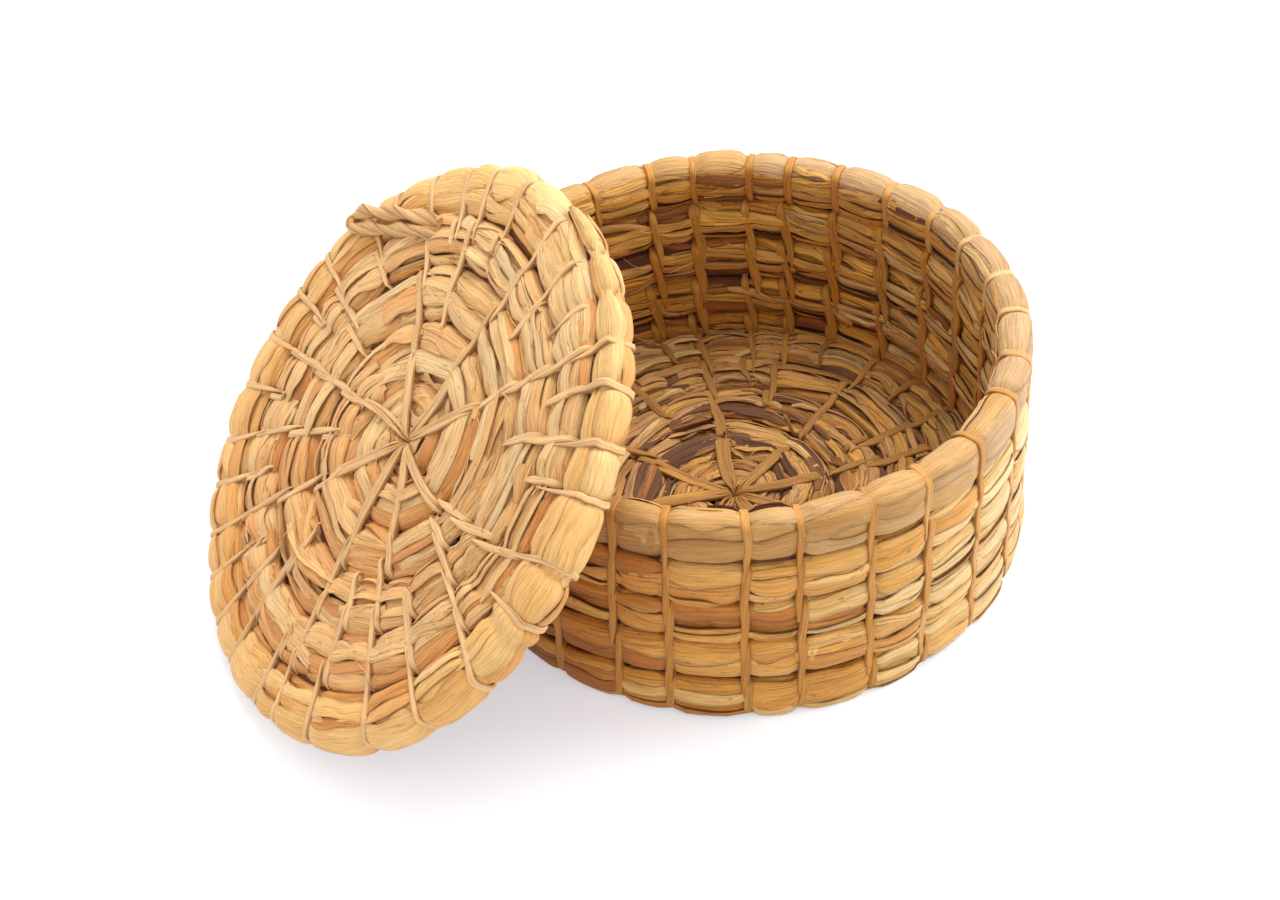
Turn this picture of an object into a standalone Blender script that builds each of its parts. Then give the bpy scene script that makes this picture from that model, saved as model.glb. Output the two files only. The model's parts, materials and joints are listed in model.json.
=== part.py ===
"""Round lidded basket of coiled grass bundles, with its lid leaning on the rim.

Three coils of grass make it: a flat spiral for the base, stepped rows for the wall and a
flat spiral for the lid. Narrow strips sew each row to the one before it. One strip ladder
per column runs down the wall and in under the base, and one per column runs across the lid.
The wall stands on the floor at z = 0, and its axis is the Z axis. The lid leans towards -X.
"""
import math

import bmesh
import bpy
from mathutils import Matrix, Vector
from mathutils.kdtree import KDTree

# Overall sizes in metres
basket_diameter = 0.150
basket_height = 0.064
wall_thickness = 0.0094
base_thickness = 0.0084
lid_diameter = 0.147
lid_thickness = 0.0104
lid_dome = 0.0020

# Rows of coil and sewn columns
wall_rows = 5
base_rows = 5
lid_rows = 5
columns = 28

# Bundle: gap between neighbouring rows, hole left where a spiral starts, width where one ends
row_gap = 0.0006
start_hole = 0.0005
tail_width = 0.0050
# Width of a bundle's flat top and bottom, as a share of its full width
flat_share = 0.5

# Strips that sew the rows together
strip_width = 0.0026
strip_thickness = 0.0009
strip_proud = 0.0003
strip_clearance = 0.0008
# More room on both sides of the post that starts a ladder, where the rows step out fastest
start_clearance = 0.0012
start_draw = 0.0019
strip_web = 0.0016
floor_lift = 0.0002

# Part of a turn in which each row steps out or up by one row, as shares of the turn
flat_step_shares = (1.0, 0.8, 0.65, 0.55, 0.45)
wall_step_shares = (0.2,)
# Every how many columns a flat row is sewn; a row with 0 is held by its neighbours
flat_sewn_every = (0, 4, 2, 2, 1, 1)
wall_sewn_every = (1,)
unsewn_points = 10

# The lid's place: tilt, and clearances to the floor and to the rim
lid_tilt = math.radians(45.9)
floor_clearance = 0.0002
seat_clearance = 0.0003
# Column of the wall that the lid leans on, and column of the lid that meets the floor
seat_column = 3
foot_column = 2
column_angle = 2 * math.pi / columns
wall_phase = math.pi - seat_column * column_angle
lid_phase = math.pi - foot_column * column_angle
# Passes in which the lid's place on the rim is found
seat_passes = 10
# Turn of the base's first row that lies over the Z axis
base_origin_turn = 0.08
# The lid's spiral starts off its middle
lid_shift = 0.0075
lid_shift_angle = math.radians(-45)

# Pull loop: a bent cord sewn to the lid near its edge, its reach given as shares of the lid's radius
loop_cord = 0.0040
loop_width = 0.0060
loop_anchor_share = 0.735
loop_anchor_angle = math.radians(44)
loop_tip_share = 1.027
loop_tip_angle = math.radians(72)
loop_drop = 0.0030
loop_points = 24

# Corners of a strip ladder's faces and sides closer than this are one corner
weld_distance = 0.000001

basket_radius = basket_diameter / 2
lid_radius = lid_diameter / 2
base_radius = basket_radius - wall_thickness - row_gap

collection = bpy.data.collections.new("coiled_basket")


def between_columns(turn):
    """Middle of the cell between two sewn columns that holds this part of a turn."""
    return (math.floor(turn * columns) + 1 / 2) / columns


class Coil:
    """Rows of one coil. Edges count outward from the middle, or upward on the wall."""

    def __init__(self, rows, pitch, start, limit, steps, sewn, hole=None):
        self.rows = rows
        self.pitch = pitch
        self.start = start
        self.limit = limit
        self.steps = steps
        self.sewn = sewn
        self.hole = hole

    def step_share(self, row):
        return self.steps[min(row, len(self.steps) - 1)]

    def edge(self, row, turn):
        """Far edge of a row's cell at this part of its turn."""
        if row < 0 and self.hole is None:
            return self.start
        if row < 0:
            return self.hole + (self.start - self.hole) * turn
        climbed = min(1, turn / self.step_share(row))
        return min(self.start + self.pitch * (row + climbed), self.limit)

    def cell(self, row, turn):
        return self.edge(row - 1, turn), self.edge(row, turn)

    def present(self, row, turn):
        begin, end = self.span(row)
        return row <= self.rows and begin <= turn <= end

    def span(self, row):
        """Part of the turn in which this row is thick enough to be there."""
        tail_turn = self.step_share(row) * tail_width / self.pitch
        begin = between_columns(tail_turn) if row == 0 and self.hole is None else 0
        end = between_columns(self.step_share(row) - tail_turn) if row == self.rows else 1
        return begin, end

    def every(self, row):
        return self.sewn[min(row, len(self.sewn) - 1)]

    def sewn_at(self, row, column):
        return self.every(row) > 0 and column % self.every(row) == 0

    def first_row(self, column):
        return next(row for row in range(self.rows + 1) if self.sewn_at(row, column))


def flat_coil(rows, radius, sewn):
    limit = radius + row_gap / 2
    pitch = limit / (rows + 1 / 2)
    return Coil(rows, pitch, pitch / 2, limit, flat_step_shares, sewn, start_hole)


wall = Coil(wall_rows, (basket_height + row_gap) / wall_rows, -row_gap / 2,
            basket_height + row_gap / 2, wall_step_shares, wall_sewn_every)
base = flat_coil(base_rows, base_radius, flat_sewn_every)
lid = flat_coil(lid_rows, lid_radius, flat_sewn_every)

rail_inset = strip_thickness - strip_proud
floor_inset = strip_thickness + floor_lift


def window_along(coil, row, column):
    """Hole in a strip ladder for one row, along the direction in which the rows follow."""
    turn = column / columns
    low, high = coil.cell(row, turn)
    if coil is wall:
        first = max(low + strip_web / 2, floor_inset)
    elif coil.first_row(column) == row:
        first = low - row_gap / 2 + start_clearance + strip_thickness
    else:
        first = low + strip_web / 2
    last_row = not coil.present(row + 1, turn)
    if last_row and coil is not base:
        return first, high - row_gap / 2 - rail_inset
    return first, high - strip_web / 2


def across(coil):
    """The coil's two faces: inner and outer on the wall, lower and upper on a flat coil."""
    if coil is wall:
        return basket_radius - wall_thickness, basket_radius
    if coil is base:
        return 0, base_thickness
    return -lid_thickness / 2, lid_thickness / 2


def window_across(coil):
    low, high = across(coil)
    if coil is wall:
        return low - row_gap / 2 + strip_web / 2, high - rail_inset
    if coil is base:
        return floor_inset, high - rail_inset
    return low + rail_inset, high - rail_inset


def shrunk(span, amount):
    return span[0] + amount, span[1] - amount


def box_at(coil, row, turn, column):
    """Bundle's radial and vertical extent: full, or drawn in where a strip holds it."""
    if column is None:
        along = shrunk(coil.cell(row, turn), row_gap / 2)
        side = across(coil)
    else:
        low, high = window_along(coil, row, column)
        starts = coil is not wall and coil.first_row(column) == row
        along = low + (start_draw if starts else strip_clearance), high - strip_clearance
        side = shrunk(window_across(coil), strip_clearance)
    return (side, along) if coil is wall else (along, side)


def hexagon(radial, vertical):
    """Bundle section: widest at half its height, with a flat top and bottom."""
    middle = (radial[0] + radial[1]) / 2
    half = (radial[1] - radial[0]) / 2
    waist = (vertical[0] + vertical[1]) / 2
    flat = half * flat_share
    return [(middle + flat, vertical[1]), (middle - flat, vertical[1]), (radial[0], waist),
            (middle - flat, vertical[0]), (middle + flat, vertical[0]), (radial[1], waist)]


def stations(coil):
    """Places along the coil where its section is set: (row, turn, sewn column or None)."""
    places = []
    for row in range(coil.rows + 1):
        begin, end = coil.span(row)
        every = coil.every(row)
        # The wall's lowest row keeps flats to stand on between its strips
        between = 3 if coil is wall and row == 0 else 2
        count = between * columns // every if every else unsewn_points
        if begin > 0:
            places.append((row, begin, None, count))
        for k in range(count):
            turn = k / count
            if begin < turn < end or (turn == 0 and begin == 0):
                sewn = every > 0 and k % between == 0
                places.append((row, turn, k // between * every if sewn else None, count))
        if end < 1:
            places.append((row, end, None, count))
    return places


def dome(coil, radius):
    if coil is not lid:
        return 0
    return lid_dome * (1 - (radius / lid_radius) ** 2)


def shift_of(coil):
    """How far the middle of a flat coil's spiral lies from the middle of its outline."""
    if coil is lid:
        return Vector((math.cos(lid_shift_angle), math.sin(lid_shift_angle), 0)) * lid_shift
    turn = base_origin_turn
    radius = sum(base.cell(0, turn)) / 2
    angle = wall_phase + 2 * math.pi * turn
    toward = Vector((math.cos(angle), math.sin(angle), 0))
    return -toward * radius / (1 - radius / base_radius)


def place(coil, radius, height, angle):
    """Point of a coil; a flat coil's rows are drawn towards the middle of its spiral."""
    point = Vector((radius * math.cos(angle), radius * math.sin(angle), height))
    if coil is wall:
        return point
    outer = base_radius if coil is base else lid_radius
    point += shift_of(coil) * max(0, 1 - radius / outer)
    point.z += dome(coil, radius)
    return point


def phase_of(coil):
    return lid_phase if coil is lid else wall_phase


def coil_sections(coil):
    sections = []
    for row, turn, column, count in stations(coil):
        angle = phase_of(coil) + 2 * math.pi * turn
        corners = hexagon(*box_at(coil, row, turn, column))
        middle = (corners[0][0] + corners[1][0]) / 2
        # Straight stretches between stations cut the inner corners short, so these lie further out
        spread = 1 / math.cos(math.pi / count)
        sections.append([place(coil, r * spread if r < middle else r, z, angle) for r, z in corners])
    return sections


def material(name, colour, roughness):
    made = bpy.data.materials.new(name)
    made.use_nodes = True
    shader = made.node_tree.nodes["Principled BSDF"]
    shader.inputs["Base Color"].default_value = (*colour, 1)
    shader.inputs["Roughness"].default_value = roughness
    return made


def add(name, data, colour, roughness, matrix, parent=None):
    piece = bpy.data.objects.new(name, data)
    data.materials.append(material(name, colour, roughness))
    collection.objects.link(piece)
    piece.parent = parent
    piece.matrix_local = matrix
    return piece


def least_gap(coil, sections):
    """Smallest distance between the section points of neighbouring rows."""
    rows = [row + turn for row, turn, column, count in stations(coil)]
    points = []
    for index, section in enumerate(sections):
        following = sections[min(index + 1, len(sections) - 1)]
        for k, corner in enumerate(section):
            points.append((rows[index], corner))
            points.append((rows[index], (corner + section[k - 1]) / 2))
            points.append((rows[index], (corner + following[k]) / 2))
    tree = KDTree(len(points))
    for index, (row, point) in enumerate(points):
        tree.insert(point, index)
    tree.balance()
    least = basket_diameter
    for row, point in points:
        for near, index, distance in tree.find_range(point, least):
            if abs(points[index][0] - row) > 1 / 2:
                least = min(least, distance)
    return least


def add_coil(name, coil, colour, matrix, parent=None):
    """One unbroken tube: a loft through unlike sections, closed at both ends."""
    sections = coil_sections(coil)
    vertices = [corner for section in sections for corner in section]
    sides = len(sections[0])
    faces = [list(range(sides))]
    for index in range(len(sections) - 1):
        first = index * sides
        for k in range(sides):
            following = (k + 1) % sides
            faces.append([first + k, first + sides + k, first + sides + following, first + following])
    last = (len(sections) - 1) * sides
    faces.append([last + k for k in reversed(range(sides))])
    mesh = bpy.data.meshes.new(name)
    mesh.from_pydata(vertices, [], faces)
    mesh.shade_smooth()
    print(f"{name}: {len(sections)} sections, least gap to itself {least_gap(coil, sections) * 1000:.2f} mm")
    return add(name, mesh, colour, straw_roughness, matrix, parent)


straw_roughness = 0.6
strip_roughness = 0.7
straw_colour = (0.62, 0.40, 0.16)
lid_colour = (0.70, 0.47, 0.21)
strip_colour = (0.45, 0.27, 0.11)


def frame_of(coil, column):
    """Upright plane of one flat ladder: its origin, direction and how radii stretch in it."""
    angle = phase_of(coil) + column * column_angle
    outer = base_radius if coil is base else lid_radius
    shift = shift_of(coil)
    rim = Vector((math.cos(angle), math.sin(angle), 0)) * outer
    reach = rim - shift
    stretch = reach.length / outer
    outward = reach.normalized()
    side = outward.cross(Vector((0, 0, 1)))
    matrix = Matrix.Translation(shift) @ Matrix((outward, (0, 0, 1), side)).transposed().to_4x4()
    return matrix, stretch


def rectangle(radial, vertical):
    return [(radial[0], vertical[0]), (radial[1], vertical[0]), (radial[1], vertical[1]), (radial[0], vertical[1])]


def welded(mesh):
    """Join the faces and sides of a filled curve into one closed body that faces out."""
    shape = bmesh.new()
    shape.from_mesh(mesh)
    bmesh.ops.remove_doubles(shape, verts=shape.verts, dist=weld_distance)
    bmesh.ops.recalc_face_normals(shape, faces=shape.faces)
    shape.to_mesh(mesh)
    shape.free()
    return mesh


def add_ladder(name, outline, holes, matrix, parent=None):
    """A strip ladder: a flat outline with a hole for each row, as thick as the strip is wide."""
    curve = bpy.data.curves.new(name + "_outline", "CURVE")
    curve.dimensions = "2D"
    curve.fill_mode = "BOTH"
    curve.extrude = strip_width / 2
    for loop in [outline] + holes:
        spline = curve.splines.new("POLY")
        spline.points.add(len(loop) - 1)
        spline.use_cyclic_u = True
        for point, (x, y) in zip(spline.points, loop):
            point.co = (x, y, 0, 1)
    drawn = bpy.data.objects.new(name + "_outline", curve)
    mesh = welded(bpy.data.meshes.new_from_object(drawn))
    mesh.name = name
    bpy.data.objects.remove(drawn)
    return add(name, mesh, strip_colour, strip_roughness, matrix, parent)


def edge_corners(radial, vertical):
    """Outer corners of a strip around a bundle's hexagon, one strip thickness away."""
    middle = (radial[0] + radial[1]) / 2
    flat = (radial[1] - radial[0]) / 2 * flat_share + strip_thickness
    return middle - flat, middle + flat, (vertical[0] + vertical[1]) / 2


def basket_ladder(column):
    """Wall column and base spoke in one: the strips run down the wall and in under the base."""
    turn = column / columns
    matrix, stretch = frame_of(base, column)
    offset = base_radius * (stretch - 1)

    def wall_side(span):
        return span[0] + offset, span[1] + offset

    radial = wall_side(window_across(wall))
    holes = []
    present = [row for row in range(wall_rows + 1) if wall.present(row, turn)]
    for row in present:
        vertical = window_along(wall, row, column)
        at_end = row in (present[0], present[-1])
        holes.append(hexagon(radial, vertical) if at_end else rectangle(radial, vertical))
    floor_row = window_along(wall, present[0], column)
    rim_row = window_along(wall, present[-1], column)
    inner, outer = radial[0] - strip_thickness, radial[1] + strip_thickness
    floor_left, floor_right, floor_middle = edge_corners(radial, floor_row)
    rim_left, rim_right, rim_middle = edge_corners(radial, rim_row)
    top = rim_row[1] + strip_thickness

    first = base.first_row(column)
    height = window_across(base)
    for row in range(first, base_rows + 1):
        if base.present(row, turn) and base.sewn_at(row, column):
            low, high = window_along(base, row, column)
            holes.append(rectangle((low * stretch, high * stretch), height))
    start = (window_along(base, first, column)[0]) * stretch - strip_thickness
    cover = height[1] + strip_thickness
    outline = [(start, floor_lift), (floor_right, floor_lift), (outer, floor_middle), (outer, rim_middle),
               (rim_right, top), (rim_left, top), (inner, rim_middle), (inner, cover), (start, cover)]
    return outline, holes, matrix


def lid_ladder(column):
    """Spoke of strips across the lid, over and under its rows."""
    turn = column / columns
    matrix, stretch = frame_of(lid, column)
    first = lid.first_row(column)
    sewn = [row for row in range(first, lid_rows + 1)
            if lid.present(row, turn) and lid.sewn_at(row, column)]
    height = window_across(lid)
    spans = [window_along(lid, row, column) for row in sewn]
    holes = [rectangle(span, height) for span in spans[:-1]] + [hexagon(spans[-1], height)]
    right, middle = edge_corners(spans[-1], height)[1:]
    radii = [low - strip_thickness for low, high in spans] + [right]
    cover = height[1] + strip_thickness
    outline = [(radius, -cover) for radius in radii]
    outline.append((spans[-1][1] + strip_thickness, middle))
    outline += [(radius, cover) for radius in reversed(radii)]

    def domed(loop):
        return [(radius * stretch, height + dome(lid, radius)) for radius, height in loop]

    return domed(outline), [domed(hole) for hole in holes], matrix


def lid_matrix():
    """Stand the lid on its edge and lean it back until its underside meets the rim."""
    outline = lid_ladder(foot_column)[0]
    sine, cosine = math.sin(lid_tilt), math.cos(lid_tilt)
    beyond = lid_radius * (frame_of(lid, foot_column)[1] - 1)
    drop = max((radius - beyond) * sine - height * cosine for radius, height in outline)
    centre_z = drop + floor_clearance
    rim_outline = basket_ladder(seat_column)[0]
    offset = base_radius * (frame_of(base, seat_column)[1] - 1)
    rim_radius = rim_outline[4][0] - offset
    rim_height = rim_outline[4][1]
    underside = lid_thickness / 2
    centre_x = rim_radius
    for seat_pass in range(seat_passes):
        along = (centre_x - rim_radius) * cosine + (rim_height - centre_z) * sine
        below = underside - dome(lid, abs(along)) + seat_clearance
        centre_x = rim_radius + ((rim_height - centre_z) * cosine + below) / sine
    lean = Matrix.Rotation(-lid_tilt, 4, "Y")
    return Matrix.Translation((-centre_x, 0, centre_z)) @ lean


def loop_route():
    """Both ends lie at the anchor on the lid's face; the tip hangs past the edge and dips."""
    anchor_radius = lid_radius * loop_anchor_share
    tip_radius = lid_radius * loop_tip_share
    anchor = Vector((math.cos(loop_anchor_angle), math.sin(loop_anchor_angle), 0)) * anchor_radius
    tip = Vector((math.cos(loop_tip_angle), math.sin(loop_tip_angle), 0)) * tip_radius
    reach = tip - anchor
    side = reach.normalized().cross(Vector((0, 0, 1)))
    face = lid_thickness / 2 + strip_proud + seat_clearance + loop_cord / 2
    points = []
    for k in range(loop_points):
        share = k / (loop_points - 1)
        half_spread = (loop_cord / 2 + row_gap) * math.cos(math.pi * share)
        spread = half_spread + loop_width / 2 * math.sin(2 * math.pi * share)
        point = anchor + reach * math.sin(math.pi * share) + side * spread
        radius = point.length
        past = max(0, radius - lid_radius + loop_cord / 2) / loop_cord
        point.z = face + dome(lid, min(radius, lid_radius)) - loop_drop * min(1, past) ** 2
        points.append(point)
    return points


def add_loop(parent):
    curve = bpy.data.curves.new("lid_loop", "CURVE")
    curve.dimensions = "3D"
    curve.bevel_depth = loop_cord / 2
    curve.bevel_resolution = 1
    curve.use_fill_caps = True
    route = loop_route()
    spline = curve.splines.new("POLY")
    spline.points.add(len(route) - 1)
    for point, place_on_lid in zip(spline.points, route):
        point.co = (*place_on_lid, 1)
    apart = loop_points // 4
    gaps = [(a - b).length for k, a in enumerate(route) for b in route[k + apart:]]
    print(f"lid_loop: least gap to itself {(min(gaps) - loop_cord) * 1000:.2f} mm")
    return add("lid_loop", curve, strip_colour, strip_roughness, Matrix(), parent)


def main():
    for old in list(bpy.data.objects):
        bpy.data.objects.remove(old)
    bpy.context.scene.collection.children.link(collection)

    add_coil("wall_coil", wall, straw_colour, Matrix())
    add_coil("base_coil", base, straw_colour, Matrix())
    for column in range(columns):
        outline, holes, matrix = basket_ladder(column)
        add_ladder(f"basket_stitches_{column + 1:02d}", outline, holes, matrix)

    lid_frame = bpy.data.objects.new("lid_frame", None)
    lid_frame.matrix_world = lid_matrix()
    collection.objects.link(lid_frame)
    add_coil("lid_coil", lid, lid_colour, Matrix(), lid_frame)
    for column in range(columns):
        outline, holes, matrix = lid_ladder(column)
        add_ladder(f"lid_stitches_{column + 1:02d}", outline, holes, matrix, lid_frame)
    add_loop(lid_frame)
    print(f"lid centre {[round(value, 5) for value in lid_matrix().translation]}, "
          f"tilt {math.degrees(lid_tilt):.1f} degrees")


main()
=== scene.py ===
# Looks of the round coiled grass basket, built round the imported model. Strips of dried leaf lie on
# every bundle, sewing strips hold the rows, and a two-ply cord makes the loop on the lid. Each is
# made from the same rows and turns as the model's coils. All lengths are in metres.
import json
import math

import bpy
import numpy as np
from mathutils import Matrix, Vector


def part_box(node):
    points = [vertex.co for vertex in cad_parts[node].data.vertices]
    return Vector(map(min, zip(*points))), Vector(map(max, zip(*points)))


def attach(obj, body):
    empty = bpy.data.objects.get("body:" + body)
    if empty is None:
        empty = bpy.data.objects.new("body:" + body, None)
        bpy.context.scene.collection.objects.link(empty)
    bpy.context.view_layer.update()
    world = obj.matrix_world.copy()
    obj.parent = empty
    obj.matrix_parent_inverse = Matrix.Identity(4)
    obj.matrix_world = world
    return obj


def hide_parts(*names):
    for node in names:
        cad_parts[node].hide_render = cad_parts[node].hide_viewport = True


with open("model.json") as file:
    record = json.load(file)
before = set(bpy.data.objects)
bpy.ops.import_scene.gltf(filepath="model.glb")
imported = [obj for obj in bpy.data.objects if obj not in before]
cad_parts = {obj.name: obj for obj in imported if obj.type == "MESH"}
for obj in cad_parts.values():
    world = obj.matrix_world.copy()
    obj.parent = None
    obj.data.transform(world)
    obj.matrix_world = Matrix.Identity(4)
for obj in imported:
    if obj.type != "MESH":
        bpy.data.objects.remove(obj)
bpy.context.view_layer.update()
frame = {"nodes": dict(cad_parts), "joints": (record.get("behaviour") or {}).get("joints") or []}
random = np.random.default_rng(7)
uniform, normal = random.uniform, random.normal
full_turn = 2 * math.pi
smallest = 1e-12

# The model's rows, repeated from its source
wall_thickness = 0.0094
base_thickness = 0.0084
lid_thickness = 0.0104
lid_dome = 0.002
wall_rows = 5
flat_rows = 5
columns = 28
row_gap = 0.0006
start_hole = 0.0005
flat_step_shares = np.array((1.0, 0.8, 0.65, 0.55, 0.45))
wall_step_shares = np.array((0.2,))
wall_phase = math.pi - 3 * full_turn / columns
lid_phase = math.pi - 2 * full_turn / columns
lid_shift = (0.0053, -0.0053)
base_shift = (-0.0018, -0.0022)

# The base's leaves reach past the model's gap, so that no light shows through there
base_spread = 0.0022

# The lid's bundle thins out later than the model's, so that its edge is broad where it was photographed
lid_step_shares = np.array((1.0, 0.65, 0.5, 0.4, 0.25))
lid_step_delays = np.array((0, 0.1, 0.2, 0.3, 0.38))

# In turns: where the bundles begin and end, where their rims begin, and the wall's taper at its end
coil_begin = 0.03
wall_last = wall_rows + 0.14
base_last = flat_rows + 0.38
lid_last = flat_rows + 0.585
wall_rim_from = wall_rows - 1 + 0.1
lid_rim_from = flat_rows - 1 + 0.55
lid_rim_overlap = 0.05
end_run = 0.05
end_least_share = 0.12

# Where the photographed strips cross the rims, in degrees
wall_columns = (
    98, 84, 74, 61, 52, 41, 28, 15, 3, 350, 338, 324, 312, 297, 283, 271, 257, 247, 232, 222,
    208.2, 194.4, 180.7, 166.9, 153.1, 139.3, 125.6, 111.8)

# Sewn lines of the lid: degrees at the rim, radius where the line starts, degrees there
lid_spokes = (
    (148, 0.001, 148), (103, 0.001, 103), (48, 0.001, 48), (3, 0.001, 3), (330, 0.001, 330),
    (231, 0.001, 229), (201, 0.001, 195), (287, 0.025, 274), (260, 0.025, 266), (270.5, 0.001, 270),
    (127, 0.026, 124), (82, 0.03, 84), (29, 0.028, 31), (180, 0.028, 172), (213, 0.029, 214),
    (351, 0.038, 349), (310, 0.04, 311), (67, 0.041, 66), (246, 0.04, 245), (169, 0.046, 167),
    (137, 0.05, 137), (158, 0.05, 158), (193, 0.05, 193), (115, 0.052, 115), (92, 0.052, 92),
    (59, 0.054, 59), (37, 0.052, 37), (18, 0.05, 18), (340, 0.052, 340), (321, 0.05, 321),
    (300, 0.052, 300), (275, 0.055, 275))
# This one has its long strip over the middle and no other
ribbon_only_angle = 270.5

# Sewn lines of the floor, in the order of wall_columns: radius where each starts
floor_starts = (
    0.035, 0.052, 0.001, 0.046, 0.034, 0.05, 0.001, 0.05, 0.033, 0.001, 0.05, 0.034, 0.001, 0.05,
    0.034, 0.001, 0.05, 0.034, 0.05, 0.001, 0.05, 0.034, 0.05, 0.001, 0.05, 0.034, 0.001, 0.05)

# Bundles: how far a stitch is felt along them, how their rows meet, and how they wander
stitch_reach = 0.0015
cell_reach = 0.0032
tight_share = 0.65
wide_share = 0.35
press_share = 0.8
row_overlap_share = 1.04
centre_overlap = 0.003
most_sag = 0.001
taper_power = 0.4
least_half = 0.0005
least_radius = 0.002
wobble = 0.00025
wobble_waves = ((3.3, 0), (7.1, 2))
section_points = 721
settling_rounds = 3

# How low each bundle's leaves and strips may reach, the lid's rim, and painted light paling leaves on the lit
# side
wall_lowest = 0.0003
base_lowest = 0.001
base_strip_lowest = 0.0008
lid_rim_pinch = 0.0011
wall_painted_light = 0.29
lid_painted_light = 0.1

# Leaves: thickness, how their ends taper, how they wave and fold, and where they break off
leaf_thickness = 0.0003
tip_length = 0.003
meander = 0.0003
ripple = 0.00004
ripple_rate = 700
fold_rate = 4.5
fold_twist = 2
width_wave_share = 0.16
wave_counts = (0.5, 1.6)
seed_range = (0, 50)
overlap_length = 0.001
least_leaf = 0.003
segment = 0.0016
fewest_stations = 8
broad_leaf = 0.006
broad_points = 9
narrow_points = 6
first_leaf_share = 0.3
lane_share = 0.3
snap_shares = (0.6, 1.6)
snap_spread = 0.0007
turn_nudge = 1e-6
# Angle round each bundle where the painted light is palest, the side facing the lamps
painted_light_angle = math.radians(-25)
crease_angle = math.radians(50)

# Cores, the bundles' hidden middles
core_depth = 0.002
core_tuck = 0.0034
core_segment = 0.003
core_points = 20
core_ripple = 0.0002
core_ripples = 9

# Sewing strips: section, and how their width grows from each end
strip_thickness = 0.0006
strip_crown = 0.00035
strip_lift = 0.0003
groove_places = np.array((-1, -0.75, -0.35, 0, 0.35, 0.75, 1))
groove_shares = np.array((0, 0.75, 1, 0.8, 1, 0.75, 0))
strip_start_shares = (0.2, 0.4)
strip_finish_shares = (0.6, 0.15)
strip_wave_share = 0.08
strip_waves = 9
phase_range = (0, 6)
strip_stations = 26
rim_stations = 54
side_step = 0.0005
least_turning = 0.004
curve_density = 40
curve_stop = 1.000001
least_row_share = 0.27

# A strip's way, point by point: place or share of its row, depth under its level, and how far aside
foot_way = ((0.001, 0.0036, 0), (0.0012, 0.0014, 0), (0.003, 0, 1 / 4))
tail_way = ((-0.0012, 0.0018, 0.6), (0, -0.0002, 1 / 2))
crease_way = ((0.7, 0.0002), (0.98, 0.0026))
rim_way = ((0.66, 0.0003, 1 / 2, 1 / 4), (0.9, 0.0012, 1 / 2, 0), (1, 0.003, 0, 0))
back_way = ((0.7, 0.0001, 0.0006), (1, 0.002, 0.0008))
crease_room = 0.001
crease_dip = 0.0001
first_reach = 0.0015
tail_range = (-0.001, 0.0015)
offset_range = (0.0002, 0.0008)
lean_shares = (0.6, 1.4)

# Long strips over the middle of a spiral, each split into strands
middle_start = 0.01
sewn_from = 0.022
ribbon_reach = 0.026
ribbon_start = 0.0004
ribbon_rise = 0.003
ribbon_dips = (0.0018, 0.0003, 0.0026)
ribbon_lifts = (0.0002, 0.0009)
ribbon_bow = 0.0009
ribbon_turn_share = 0.85
strand_step_share = 0.3
strand_spread = 0.0002
strand_lifts = (0, 0.0003)
strand_reach_shares = (0.9, 1.08)
strand_width_shares = (0.45, 0.65)
floor_ribbon = (0.0032, 0.07)
lid_ribbon = (0.0022, 0.8)

# Kinds of sewing strip: widths, tone and its spread, and lean
outer_strip = ((0.0018, 0.0023), (0.42, 0.04), 0.001)
inner_strip = ((0.0022, 0.003), (0.23, 0.05), 0.003)
floor_strip = ((0.002, 0.0028), (0.06, 0.02), 0.002)
lid_strip = ((0.0015, 0.0021), (0.9, 0.07), 0.0016)
# Painted light: how much the tone of sewing strips rises on the wall's side facing the lamps
strip_painted_light = 0.26


def smooth(x):
    x = np.clip(x, 0, 1)
    return x * x * (3 - 2 * x)


def unit(vectors):
    return vectors / np.maximum(np.linalg.norm(vectors, axis=-1, keepdims=True), smallest)


def grow(x, share, run):
    """From a share of full size at 0 up to full size after a run."""
    return share + (1 - share) * smooth(x / run)


def lengths_along(points):
    return np.concatenate([[0], np.cumsum(np.linalg.norm(np.diff(points, axis=0), axis=1))])


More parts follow.
